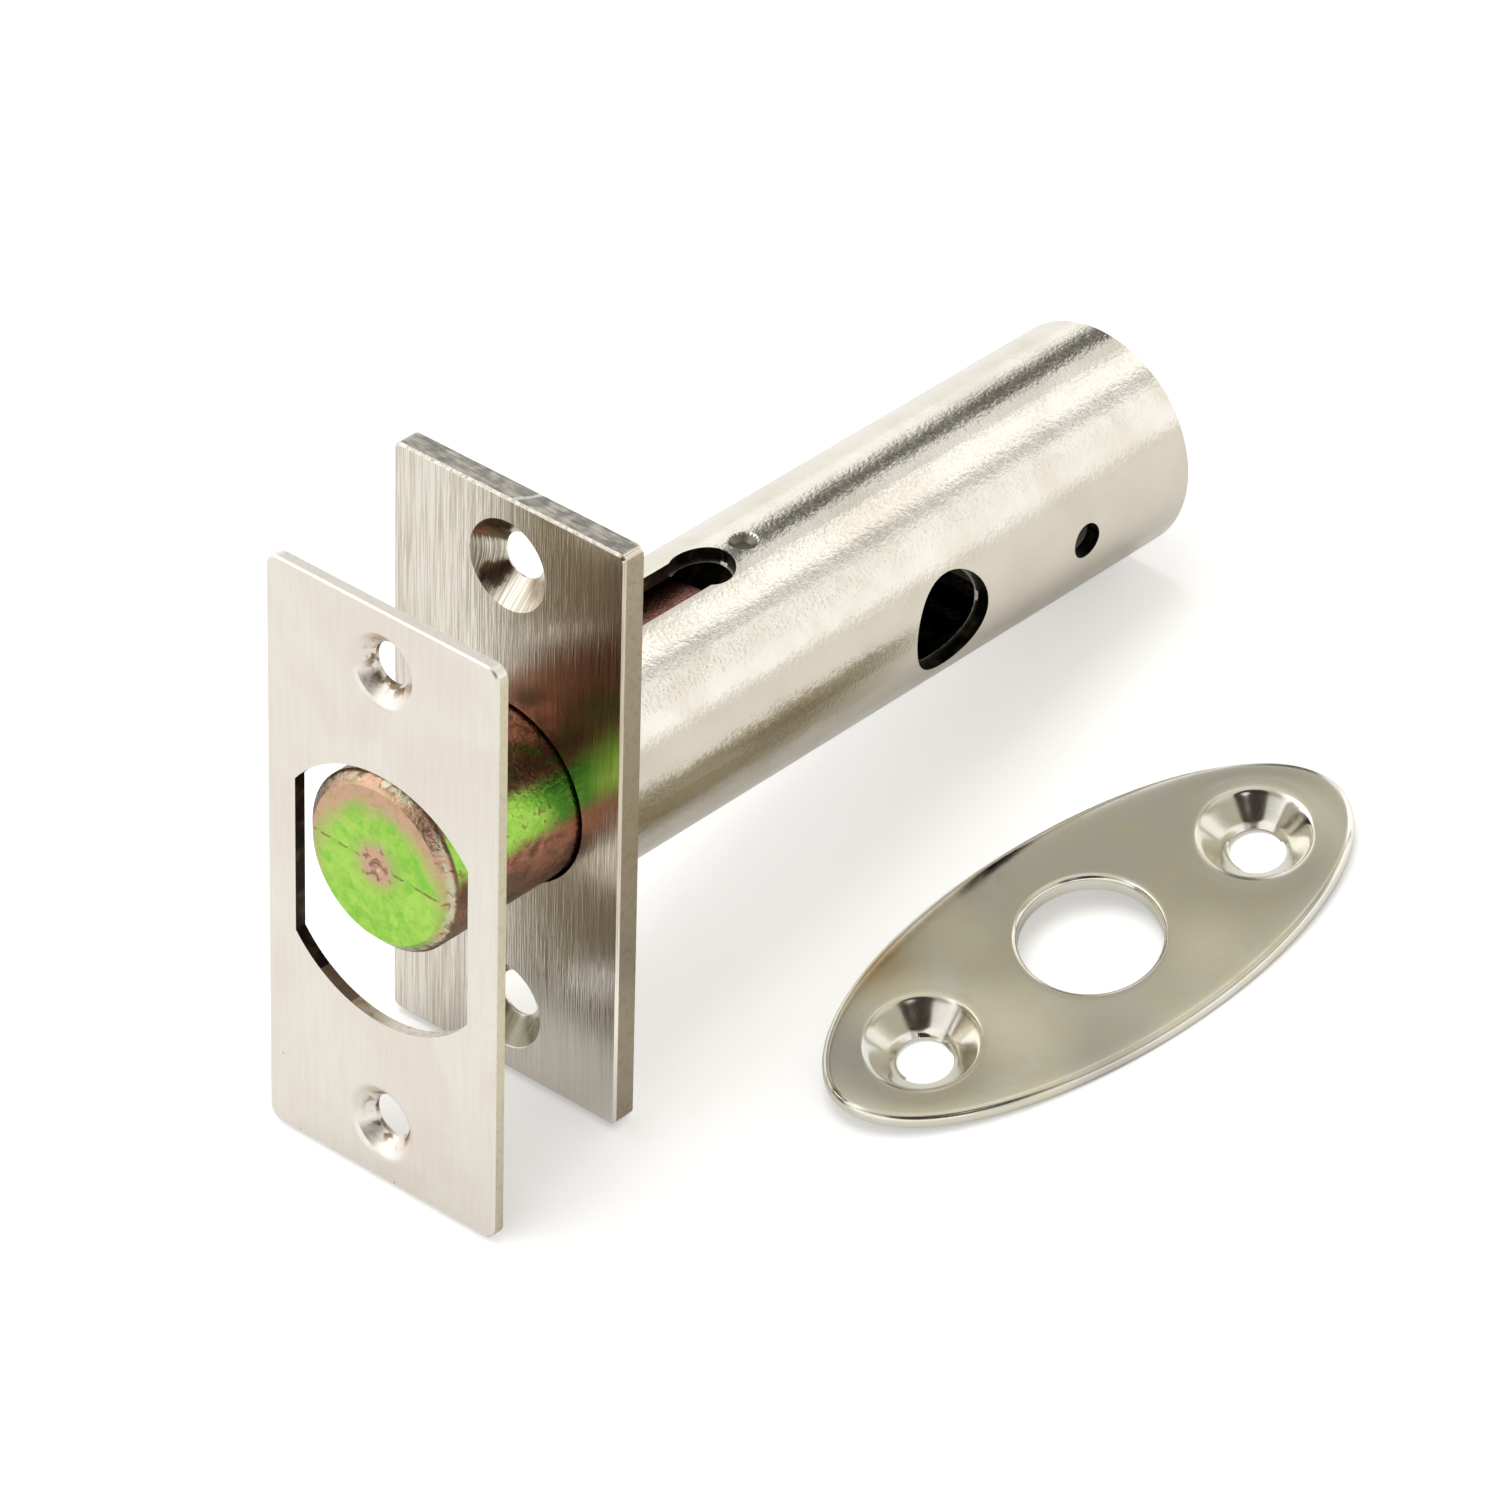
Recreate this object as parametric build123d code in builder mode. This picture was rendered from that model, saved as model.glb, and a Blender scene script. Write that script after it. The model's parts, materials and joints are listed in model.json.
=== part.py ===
from build123d import *
import math
import os

# A mortice door bolt set as it lies on a table: lock, strike plate and key escutcheon.
# The lock is a tube with a forend plate. A round bolt slides in the tube, and a key with teeth,
# put in through the hole in the tube's side, drives the rack on the bolt's tail. The strike
# plate hangs on the thrown bolt, and the escutcheon lies beside the lock.
# Millimetres and degrees. The origin is the middle of the forend's back face, on the bolt's
# axis. +X runs across the forend, +Y level along the tube, and +Z up from the table.

os.makedirs("parts", exist_ok=True)

# Forend plate
forend_height = 50.0
forend_width = 22.5
forend_thickness = 2.0
forend_corner = 0.7
forend_edge_break = 0.2
forend_screw_spacing = 38.6
forend_screw_hole_radius = 1.85
forend_countersink_radius = 3.7
countersink_angle = 90.0

# Tube that holds the bolt
tube_radius = 9.45
tube_wall = 1.2
tube_length = 65.2
tube_edge_break = 0.25
tube_seat_depth = 0.4
collar_depth = 1.6
collar_clearance = 0.05

# Bolt, its travel and its rack
bolt_radius = 7.3
bolt_throw = 13.5
bolt_nose_chamfer = 0.9
bolt_hole_clearance = 0.3
bolt_shoulder_back = 19.0
bolt_tail_end_back = 45.5
centre_mark_radius = 0.55
centre_mark_depth = 0.45
rack_pitch = 3.4
rack_tooth_height = 1.6
rack_tooth_tip_width = 1.1
rack_flank_angle = 20.0
rack_first_gap_back = 22.4
rack_gaps = 7

# Key hole in the tube's side, and the small hole behind it
key_hole_radius = 4.1
key_hole_back = 37.1
key_radius = 3.95
key_engagement = 1.3
small_hole_radius = 1.45
small_hole_back = 52.8

# Guide pin, its slot and the pips pressed into the tube
pin_radius = 1.95
pin_back = 5.2
pin_seat_radius = 3.4
pin_head_gap = 0.3
pin_head_break = 0.3
slot_side_clearance = 0.15
slot_front_clearance = 0.2
slot_end_gap = 1.05
slot_end_radius = 2.5
pip_radius = 1.25
pip_floor_radius = 0.65
pip_back = 23.7
pip_clearance = 0.08
pip_dent_depth = 0.6

# Strike plate, hung on the thrown bolt
strike_height = 50.0
strike_width = 22.7
strike_thickness = 1.0
strike_corner = 1.2
strike_edge_break = 0.15
strike_front_gap = 12.1
strike_window_width = 17.1
strike_hang_gap = 0.2
strike_screw_spacing = 39.8
strike_screw_hole_radius = 1.75
strike_dimple_depth = 0.65
strike_dimple_edge_radius = 0.7

# Escutcheon, a crowned oval sheet on the table
plate_length = 47.3
plate_width = 21.6
plate_sheet = 0.9
plate_rim_height = 0.95
plate_crown_rise = 0.4
plate_rim_chamfer = 0.3
plate_key_hole_radius = 5.45
plate_key_hole_chamfer = 0.25
plate_screw_spacing = 31.4
plate_screw_hole_radius = 2.15
plate_dimple_drop = 1.2
plate_dimple_edge_radius = 2.0
plate_dimple_lip = 0.12
dimple_land = 0.35
plate_place_x = 29.3
plate_place_y = 25.9
plate_turn = 77.2

# Places worked out from the sizes
tube_bore = tube_radius - tube_wall
bolt_reach = forend_thickness + bolt_throw
forend_bolt_hole = bolt_radius + bolt_hole_clearance
rack_top = key_engagement - key_radius
rack_root = rack_top - rack_tooth_height
slot_half_width = pin_radius + slot_side_clearance
slot_front = pin_back - pin_radius - slot_front_clearance
slot_end = pin_back + bolt_throw + pin_radius + slot_end_gap

# The lock rests on the forend's lower back edge and the tube's far end
lean = math.atan2(forend_height / 2 - tube_radius, tube_length)
table_height = -forend_height / 2 * math.cos(lean)
lock = Plane(origin=(0, 0, 0), x_dir=(1, 0, 0), z_dir=(0, -math.cos(lean), math.sin(lean)))
bolt_axis = Axis((0, 0, 0), tuple(lock.z_dir))
lock_section = Plane(origin=(0, 0, 0), x_dir=(1, 0, 0), z_dir=tuple(-lock.y_dir))


def upright(back):
    """A plane through the bolt's axis, centred this far behind the forend, that faces up it."""
    return Plane(origin=lock.from_local_coords((0, 0, -back)), x_dir=(1, 0, 0), z_dir=tuple(lock.y_dir))


def sideways(back):
    """A plane through the bolt's axis, centred this far behind the forend, that faces the key's side."""
    return Plane(origin=lock.from_local_coords((0, 0, -back)), x_dir=tuple(lock.y_dir), z_dir=(1, 0, 0))


def dimple(section, hole_radius, face, bottom, sheet, edge_radius):
    """A screw dimple pressed into sheet: the solid funnel, and the hollow that is cut from it.

    The section plane has the dimple's axis as its own y axis. The hollow's wall leaves the face
    in a rounded edge and runs down at half the countersink's angle to a straight land around the hole.
    """
    slope = math.radians(countersink_angle / 2)
    land_top = bottom + dimple_land
    edge_drop = edge_radius * (1 - math.sin(slope))
    cone_run = (face - edge_drop - land_top) * math.tan(slope)
    cone_top = (hole_radius + cone_run, face - edge_drop)
    lip = (cone_top[0] + edge_radius * math.cos(slope), face)
    above = face + sheet
    foot = hole_radius + sheet / math.cos(slope) - dimple_land * math.tan(slope)
    funnel_top = face - sheet / 2
    with BuildPart() as funnel:
        with BuildSketch(section):
            with BuildLine():
                Polyline(
                    (0, bottom),
                    (foot, bottom),
                    (foot + (funnel_top - bottom) * math.tan(slope), funnel_top),
                    (0, funnel_top),
                    close=True,
                )
            make_face()
        revolve(axis=Axis(section.origin, section.y_dir))
    with BuildPart() as hollow:
        with BuildSketch(section):
            with BuildLine():
                Polyline(
                    (0, above),
                    (0, bottom - sheet),
                    (hole_radius, bottom - sheet),
                    (hole_radius, land_top),
                    cone_top,
                )
                RadiusArc(cone_top, lip, edge_radius)
                Polyline(lip, (lip[0], above), (0, above))
            make_face()
        revolve(axis=Axis(section.origin, section.y_dir))
    return funnel.part, hollow.part


# Forend plate: countersunk, with a seat for the tube's end around a collar that holds it
with BuildPart() as forend_plate:
    with BuildSketch(lock):
        RectangleRounded(forend_width, forend_height, forend_corner)
    extrude(amount=forend_thickness)
    chamfer(forend_plate.edges().group_by(bolt_axis)[-1], length=forend_edge_break)
    with BuildSketch(lock):
        Circle(tube_radius + collar_clearance)
    extrude(amount=tube_seat_depth, mode=Mode.SUBTRACT)
    with BuildSketch(lock.offset(tube_seat_depth)):
        Circle(tube_bore - collar_clearance)
    extrude(amount=-collar_depth - tube_seat_depth)
    with BuildSketch(lock.offset(forend_thickness)):
        Circle(forend_bolt_hole)
    extrude(amount=-forend_thickness - collar_depth, mode=Mode.SUBTRACT)
    with Locations(lock.offset(forend_thickness)):
        with Locations((0, forend_screw_spacing / 2), (0, -forend_screw_spacing / 2)):
            CounterSinkHole(
                radius=forend_screw_hole_radius,
                counter_sink_radius=forend_countersink_radius,
                counter_sink_angle=countersink_angle,
            )
forend_plate.part.label = "forend_plate"
export_step(forend_plate.part, "parts/forend_plate.step")

# Tube: key hole and small hole in one side, guide slot on top, pips pressed in above and below
with BuildPart() as barrel_tube:
    with BuildSketch(lock.offset(tube_seat_depth)):
        Circle(tube_radius)
        Circle(tube_bore, mode=Mode.SUBTRACT)
    extrude(amount=-tube_length - tube_seat_depth)
    chamfer(barrel_tube.edges().group_by(bolt_axis)[0], length=tube_edge_break)
    seated_edge = barrel_tube.edges().group_by(bolt_axis)[-1].sort_by(SortBy.RADIUS)[-1]
    chamfer(seated_edge, length=tube_seat_depth)
    with BuildSketch(sideways(key_hole_back)):
        Circle(key_hole_radius)
    extrude(amount=tube_radius * 2, mode=Mode.SUBTRACT)
    with BuildSketch(sideways(small_hole_back)):
        Circle(small_hole_radius)
    extrude(amount=tube_radius * 2, mode=Mode.SUBTRACT)
    with BuildSketch(upright(0)):
        with Locations((0, (slot_front + slot_end) / 2)):
            SlotOverall(slot_end - slot_front, slot_half_width * 2, rotation=90)
        with Locations((0, slot_end - slot_end_radius)):
            Circle(slot_end_radius)
    extrude(amount=tube_radius * 2, mode=Mode.SUBTRACT)
    for side in (1, -1):
        pip_section = Plane(upright(pip_back).origin, x_dir=(1, 0, 0), z_dir=tuple(lock.z_dir * side))
        pip_axis = Axis(pip_section.origin, pip_section.y_dir)
        pip_tip = bolt_radius + pip_clearance
        with BuildSketch(pip_section):
            with BuildLine():
                Polyline(
                    (0, tube_radius - tube_wall / 2),
                    (0, pip_tip),
                    (pip_floor_radius, pip_tip),
                    (pip_radius, tube_bore),
                    (pip_radius, tube_radius - tube_wall / 2),
                    close=True,
                )
            make_face()
        revolve(axis=pip_axis)
        with BuildSketch(pip_section):
            with BuildLine():
                Polyline(
                    (0, tube_radius + tube_wall),
                    (0, tube_radius - pip_dent_depth),
                    (pip_floor_radius, tube_radius - pip_dent_depth),
                    (pip_radius, tube_radius),
                    (pip_radius, tube_radius + tube_wall),
                    close=True,
                )
            make_face()
        revolve(axis=pip_axis, mode=Mode.SUBTRACT)
barrel_tube.part.label = "barrel_tube"
export_step(barrel_tube.part, "parts/barrel_tube.step")

# Bolt: a turned nose and body, and a tail milled away to a rack for the key
with BuildPart() as bolt:
    with BuildSketch(lock_section):
        with BuildLine():
            Polyline(
                (0, bolt_reach - centre_mark_depth),
                (centre_mark_radius, bolt_reach),
                (bolt_radius - bolt_nose_chamfer, bolt_reach),
                (bolt_radius, bolt_reach - bolt_nose_chamfer),
                (bolt_radius, -bolt_shoulder_back),
                (0, -bolt_shoulder_back),
                close=True,
            )
        make_face()
    revolve(axis=bolt_axis)
    with BuildSketch(lock.offset(-bolt_shoulder_back)):
        Circle(bolt_radius)
        with Locations((0, rack_top)):
            Rectangle(bolt_radius * 2, bolt_radius * 2, align=(Align.CENTER, Align.MIN), mode=Mode.SUBTRACT)
    extrude(amount=bolt_shoulder_back - bolt_tail_end_back)
    flank_run = rack_tooth_height * math.tan(math.radians(rack_flank_angle))
    gap_root = rack_pitch - rack_tooth_tip_width - 2 * flank_run
    with BuildSketch(sideways(0)):
        for tooth in range(rack_gaps):
            gap_middle = -(rack_first_gap_back + tooth * rack_pitch)
            gap_half = (rack_pitch - rack_tooth_tip_width) / 2
            with BuildLine():
                Polyline(
                    (rack_top, gap_middle - gap_half),
                    (rack_top, gap_middle + gap_half),
                    (rack_root, gap_middle + gap_root / 2),
                    (rack_root, gap_middle - gap_root / 2),
                    close=True,
                )
            make_face()
    extrude(amount=bolt_radius, both=True, mode=Mode.SUBTRACT)
    with BuildSketch(upright(pin_back).offset(pin_seat_radius)):
        Circle(pin_radius)
    extrude(amount=bolt_radius, mode=Mode.SUBTRACT)
bolt.part.label = "bolt"
export_step(bolt.part, "parts/bolt.step")

# Guide pin: pressed into the bolt, it rides in the tube's slot
with BuildPart() as guide_pin:
    with BuildSketch(upright(pin_back).offset(pin_seat_radius)):
        Circle(pin_radius)
    extrude(amount=tube_radius - pin_head_gap - pin_seat_radius)
    chamfer(guide_pin.edges().group_by(Axis((0, 0, 0), tuple(lock.y_dir)))[-1], length=pin_head_break)
guide_pin.part.label = "guide_pin"
export_step(guide_pin.part, "parts/guide_pin.step")

# Strike plate: stands on its lower back edge, with its window hung over the bolt
strike_back = forend_thickness + strike_front_gap
strike_drop = strike_back * math.tan(lean)
strike_window_radius = bolt_radius + strike_drop + strike_hang_gap
strike_place = lock.from_local_coords((0, -strike_drop, strike_back))
strike = Plane(origin=strike_place, x_dir=(1, 0, 0), z_dir=tuple(lock.z_dir))
strike_dimples = []
for height in (strike_screw_spacing / 2, -strike_screw_spacing / 2):
    dimple_section = Plane(
        origin=strike.from_local_coords((0, height, 0)), x_dir=(1, 0, 0), z_dir=tuple(-lock.y_dir)
    )
    strike_dimples.append(
        dimple(
            dimple_section,
            strike_screw_hole_radius,
            strike_thickness,
            -strike_dimple_depth,
            strike_thickness,
            strike_dimple_edge_radius,
        )
    )
with BuildPart() as strike_plate:
    with BuildSketch(strike):
        RectangleRounded(strike_width, strike_height, strike_corner)
    extrude(amount=strike_thickness)
    chamfer(strike_plate.edges().group_by(bolt_axis)[-1], length=strike_edge_break)
    with BuildSketch(strike):
        Circle(strike_window_radius)
        Rectangle(strike_window_width, strike_height, mode=Mode.INTERSECT)
    extrude(amount=strike_thickness, mode=Mode.SUBTRACT)
    for funnel, hollow in strike_dimples:
        add(funnel)
        add(hollow, mode=Mode.SUBTRACT)
strike_plate.part.label = "strike_plate"
export_step(strike_plate.part, "parts/strike_plate.step")

# Escutcheon: an oval cap over its own plane, drawn level and then laid down
crown_top = plate_rim_height + plate_crown_rise


def crowned(length, width, bottom, top):
    """An oval block with a straight wall, whose top is crowned across its width."""
    half_width = plate_width / 2
    with BuildPart() as block:
        with BuildSketch(Plane.XY.offset(bottom)):
            Ellipse(length / 2, width / 2)
        extrude(amount=top - bottom + plate_crown_rise)
        with BuildSketch(Plane.YZ):
            with BuildLine():
                ThreePointArc(
                    (-half_width, top - plate_crown_rise), (0, top), (half_width, top - plate_crown_rise)
                )
                Polyline(
                    (half_width, top - plate_crown_rise),
                    (half_width, bottom - plate_sheet),
                    (-half_width, bottom - plate_sheet),
                    (-half_width, top - plate_crown_rise),
                )
            make_face()
        extrude(amount=plate_length, both=True, mode=Mode.INTERSECT)
    return block.part


plate_outside = crowned(plate_length, plate_width, 0, crown_top)
plate_inside = crowned(
    plate_length - 2 * plate_sheet, plate_width - 2 * plate_sheet, -plate_sheet, crown_top - plate_sheet
)
dimple_face = crown_top + plate_dimple_lip
plate_dimples = []
for place in (plate_screw_spacing / 2, -plate_screw_spacing / 2):
    plate_dimples.append(
        dimple(
            Plane(origin=(place, 0, 0), x_dir=(1, 0, 0), z_dir=(0, -1, 0)),
            plate_screw_hole_radius,
            dimple_face,
            -plate_dimple_drop,
            plate_sheet,
            plate_dimple_edge_radius,
        )
    )
with BuildPart() as level_escutcheon:
    add(plate_outside)
    chamfer(level_escutcheon.faces().sort_by(Axis.Z)[-1].outer_wire().edges(), length=plate_rim_chamfer)
    add(plate_inside, mode=Mode.SUBTRACT)
    for funnel, hollow in plate_dimples:
        add(funnel)
        add(hollow, mode=Mode.SUBTRACT)
    with BuildSketch(Plane.XZ):
        with BuildLine():
            Polyline(
                (0, -plate_sheet),
                (plate_key_hole_radius, -plate_sheet),
                (plate_key_hole_radius, crown_top - plate_key_hole_chamfer),
                (plate_key_hole_radius + 2 * plate_key_hole_chamfer, crown_top + plate_key_hole_chamfer),
                (0, crown_top + plate_key_hole_chamfer),
                close=True,
            )
        make_face()
    revolve(axis=Axis.Z, mode=Mode.SUBTRACT)

# It lies on its two dimples and one long side of its rim
plate_tip = math.atan2(plate_dimple_drop, plate_width / 2)
turn = math.radians(plate_turn)
near_side = Vector(math.sin(turn), -math.cos(turn), 0)
plate = Plane(
    origin=(plate_place_x, plate_place_y, table_height + plate_width / 2 * math.sin(plate_tip)),
    x_dir=(math.cos(turn), math.sin(turn), 0),
    z_dir=tuple(near_side * math.sin(plate_tip) + Vector(0, 0, math.cos(plate_tip))),
)
with BuildPart() as key_escutcheon:
    add(plate.from_local_coords(level_escutcheon.part))
key_escutcheon.part.label = "key_escutcheon"
export_step(key_escutcheon.part, "parts/key_escutcheon.step")
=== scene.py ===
import json
import math

import bmesh
import bpy
from mathutils import Matrix, Vector, noise


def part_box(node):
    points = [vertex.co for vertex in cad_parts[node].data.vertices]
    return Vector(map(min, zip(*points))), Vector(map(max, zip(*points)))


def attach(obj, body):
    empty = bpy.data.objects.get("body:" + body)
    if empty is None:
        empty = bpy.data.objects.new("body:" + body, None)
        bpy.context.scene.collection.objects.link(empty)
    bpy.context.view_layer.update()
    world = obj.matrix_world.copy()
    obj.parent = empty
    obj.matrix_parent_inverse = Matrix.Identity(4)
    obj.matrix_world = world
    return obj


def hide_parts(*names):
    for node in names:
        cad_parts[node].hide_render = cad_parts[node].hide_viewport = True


# A mortice door bolt set on a white table: nickel-plated lock, strike plate and escutcheon, and a
# passivated zinc bolt. Metres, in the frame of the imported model.
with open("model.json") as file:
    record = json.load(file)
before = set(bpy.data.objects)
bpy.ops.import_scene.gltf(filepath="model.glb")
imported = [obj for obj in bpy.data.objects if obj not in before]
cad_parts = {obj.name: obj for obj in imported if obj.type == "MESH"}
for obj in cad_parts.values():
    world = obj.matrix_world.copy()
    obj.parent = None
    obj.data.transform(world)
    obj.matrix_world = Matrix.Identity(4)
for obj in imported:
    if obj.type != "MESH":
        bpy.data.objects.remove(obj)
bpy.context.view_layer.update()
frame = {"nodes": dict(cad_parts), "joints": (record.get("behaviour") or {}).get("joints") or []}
nodes = frame["nodes"]

MM = 0.001
DEGREES = 180 / math.pi
OUTWARD = Vector(frame["joints"][0]["axis"])
LEAN = math.asin(OUTWARD.z)
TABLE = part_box("forend_plate")[0].z

# The lock's own axes: x across it, y up the forend, z out of the door
LOCK_TURN = (math.pi / 2 - LEAN, 0.0, 0.0)
LOCK_PLACE = Matrix.Rotation(LOCK_TURN[0], 4, "X")

# The escutcheon's own axes: x along its oval, y across, z up. It lies tipped, on one long edge and
# the feet of its dimples.
OVAL = (23.65, 10.8)
PLATE_TIP = math.radians(6.34)
PLATE_ABOUT_UP = Matrix.Rotation(math.radians(77.2), 3, "Z")
PLATE_TURN = (PLATE_ABOUT_UP @ Matrix.Rotation(PLATE_TIP, 3, "X")).to_euler()
PLATE_CENTRE = Vector((29.3, 25.9, TABLE / MM + OVAL[1] * math.sin(PLATE_TIP))) * MM

# Places along the lock's axes, in millimetres
STRIKE_DROP = 3.36
STRIKE_SCREW_HEIGHT = 19.9
FOREND_SCREW_HEIGHT = 19.3
FOREND_TOP = 25.0
FOREND_FACE = 2.0
NICK_PLACE = 2.1
NOSE_FACE = 15.5
CHAMFER_START = 14.6

# Camera
CAMERA_PLACE = Vector((0.354436, -0.293082, 0.439891))
CAMERA_AZIMUTH = math.radians(48.35)
CAMERA_ELEVATION = math.radians(43.84)
CAMERA_ROLL = math.radians(-10.45)
CAMERA_LENS = 209.57

# Colours of the plated metals, as they mirror white
NICKEL_LIT = (0.95, 0.92, 0.86, 1)
NICKEL_PALE = (0.82, 0.78, 0.70, 1)
NICKEL_WARM = (0.72, 0.67, 0.58, 1)
NICKEL_CREAM = (0.86, 0.83, 0.765, 1)
NICKEL_ROSE = (0.84, 0.77, 0.71, 1)
NICKEL_OLIVE = (0.74, 0.71, 0.58, 1)
NICKEL_COOL = (0.76, 0.74, 0.69, 1)
NICKEL_BROWN = (0.24, 0.18, 0.11, 1)
NICKEL_SHADE = (0.29, 0.25, 0.18, 1)
NICKEL_SHADE_BROWN = (0.34, 0.29, 0.20, 1)
NICKEL_DIMMED = (0.62, 0.57, 0.48, 1)
NICKEL_SCRATCHED = (0.58, 0.53, 0.44, 1)
NICKEL_REFLECTED_BROWN = (0.54, 0.42, 0.27, 1)
NICKEL_PIP_REFLECTION = (0.20, 0.195, 0.17, 1)
NICKEL_HOLLOW_SHADE = (0.17, 0.16, 0.09, 1)
STRIKE_SIDE = (0.72, 0.66, 0.50, 1)
FOREND_SIDE = (0.42, 0.36, 0.27, 1)
STEEL_GREY = (0.36, 0.35, 0.34, 1)
SHADE_BLACK = (0.030, 0.027, 0.024, 1)
ZINC_LIME = (0.26, 0.60, 0.07, 1)
ZINC_YELLOW = (0.46, 0.74, 0.13, 1)
ZINC_GOLD = (0.50, 0.38, 0.20, 1)
ZINC_OLIVE = (0.62, 0.60, 0.42, 1)
ZINC_ROSE = (0.64, 0.40, 0.28, 1)
ZINC_GREEN = (0.05, 0.27, 0.035, 1)
ZINC_COPPER = (0.44, 0.19, 0.13, 1)
ZINC_MOSS = (0.11, 0.20, 0.04, 1)
ZINC_RED = (0.62, 0.30, 0.24, 1)
ZINC_BROWN = (0.16, 0.09, 0.05, 1)
WHITE = (1, 1, 1, 1)


class Reading:
    """A number, colour or vector in a shader. Sums and products of numbers add Math nodes to it."""

    def __init__(self, shader, socket):
        self.shader = shader
        self.socket = socket

    def __add__(self, other):
        return self.shader.math("ADD", self, other)

    def __sub__(self, other):
        return self.shader.math("SUBTRACT", self, other)

    def __rsub__(self, other):
        return self.shader.math("SUBTRACT", other, self)

    def __mul__(self, other):
        return self.shader.math("MULTIPLY", self, other)

    def __abs__(self):
        return self.shader.math("ABSOLUTE", self)

    __radd__ = __add__
    __rmul__ = __mul__


class Shader:
    """The nodes of one finish, built from nothing."""

    def __init__(self, tree):
        self.tree = tree
        tree.nodes.clear()

    def node(self, kind, settings=(), values=(), output=0):
        """Adds a node, its settings first and then the values or links of its sockets."""
        made = self.tree.nodes.new(kind)
        for name, setting in dict(settings).items():
            if name == "stops":
                self.set_stops(made.color_ramp, setting)
            else:
                setattr(made, name, setting)
        for name, value in values.items() if isinstance(values, dict) else enumerate(values):
            if isinstance(value, Reading):
                self.tree.links.new(value.socket, made.inputs[name])
            else:
                made.inputs[name].default_value = value
        return Reading(self, made.outputs[output]) if made.outputs else None

    def set_stops(self, ramp, stops):
        while len(ramp.elements) < len(stops):
            ramp.elements.new(0.5)
        for element, (position, colour) in zip(ramp.elements, stops):
            element.position = position
            element.color = colour

    def math(self, operation, *values):
        return self.node("ShaderNodeMath", {"operation": operation}, values)

    def place(self, turn, centre=(0, 0, 0), stretch=(1, 1, 1)):
        """Object coordinates in millimetres along turned axes, each divided by its stretch."""
        return self.node(
            "ShaderNodeMapping",
            {"vector_type": "TEXTURE"},
            {
                "Vector": self.node("ShaderNodeTexCoord", output="Object"),
                "Location": centre,
                "Rotation": turn,
                "Scale": tuple(s * MM for s in stretch),
            },
        )

    def axis(self, place, letter):
        return self.node("ShaderNodeSeparateXYZ", values=[place], output=letter)

    def length(self, first, second):
        """The distance that two distances at right angles make."""
        return self.math("SQRT", first * first + second * second)

    def bearing(self, sideways, ahead):
        """The direction of a place in degrees: 0 straight ahead, and 90 at the side."""
        return self.math("ARCTAN2", sideways, ahead) * DEGREES

    def towards(self, way, target):
        """The cosine of the angle between two directions."""
        settings = {"operation": "DOT_PRODUCT"}
        return self.node("ShaderNodeVectorMath", settings, [way, target], output=1)

    def ray(self, kind):
        """1 for light of this kind, and 0 for the rest."""
        return self.node("ShaderNodeLightPath", output=f"Is {kind} Ray")

    def noise(self, place, size, detail=3.0, distortion=0.0, roughness=0.5):
        """Noise whose features are about this many units of the place in size."""
        return self.node(
            "ShaderNodeTexNoise",
            values={
                "Vector": place,
                "Scale": 1 / size,
                "Detail": detail,
                "Roughness": roughness,
                "Distortion": distortion,
            },
        )

    def step(self, value, start, end, low=0.0, high=1.0):
        """Rises smoothly from low to high as value goes from start to end."""
        return self.node(
            "ShaderNodeMapRange",
            {"interpolation_type": "SMOOTHSTEP"},
            [value, start, end, low, high],
        )

    def blend(self, share, first, second):
        """The first colour where share is 0, and the second where it is 1."""
        sockets = {0: share, 6: first, 7: second}
        return self.node("ShaderNodeMix", {"data_type": "RGBA"}, sockets, output=2)

    def specks(self, place, spacing, size):
        """1 in small round specks, one to a cell of this spacing, and 0 elsewhere."""
        distance = self.node("ShaderNodeTexVoronoi", values={"Vector": place, "Scale": 1 / spacing})
        return self.step(distance * spacing, size, size / 2)

    def bump(self, height, reach, strength):
        """A bent normal, for a height of 0 to 1 that is this many millimetres deep."""
        values = {"Strength": strength, "Distance": reach * MM, "Height": height}
        return self.node("ShaderNodeBump", values=values)

    def metal(self, colour, roughness, normal):
        """Ends the finish with a metal of this colour."""
        surface = self.node(
            "ShaderNodeBsdfPrincipled",
            values={
                "Base Color": colour,
                "Metallic": 1.0,
                "Roughness": roughness,
                "Normal": normal,
            },
        )
        self.node("ShaderNodeOutputMaterial", values=[surface])


def finish(name):
    """A new material and its empty shader."""
    material = bpy.data.materials.new(name)
    material.use_nodes = True
    return material, Shader(material.node_tree)


def satin_nickel():
    """The strike's plate: pale, with rose tints and specks, and wax round the holes."""
    material, shader = finish("satin_nickel")
    place = shader.place(LOCK_TURN)
    grain = shader.noise(place, 0.16, detail=1.0)
    drawn = shader.noise(shader.place(LOCK_TURN, stretch=(1, 14, 14)), 0.3, detail=2.0)
    cloud = shader.noise(place, 9.0, detail=3.0, distortion=0.6)
    stains = shader.noise(place, 1.1, detail=2.0)
    specks = shader.specks(place, 2.6, 0.11) * shader.step(cloud, 0.42, 0.55)
    colour = shader.blend(shader.step(cloud, 0.35, 0.65), NICKEL_CREAM, NICKEL_ROSE)
    colour = shader.blend(shader.step(drawn, 0.35, 0.75, 0.0, 0.25), colour, NICKEL_WARM)
    across, height = shader.axis(place, "X"), shader.axis(place, "Y")
    from_hole = abs(abs(height + STRIKE_DROP) - STRIKE_SCREW_HEIGHT)
    near_hole = shader.step(shader.length(across, from_hole), 2.6, 1.9)
    colour = shader.blend(near_hole * shader.step(stains, 0.48, 0.60), colour, NICKEL_BROWN)
    colour = shader.blend(specks * 0.75, colour, NICKEL_BROWN)
    roughness = shader.step(grain, 0.3, 0.7, 0.28, 0.40)
    shader.metal(colour, roughness, shader.bump(grain * 0.6 + drawn * 0.4, 0.02, 0.35))
    return material


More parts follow.
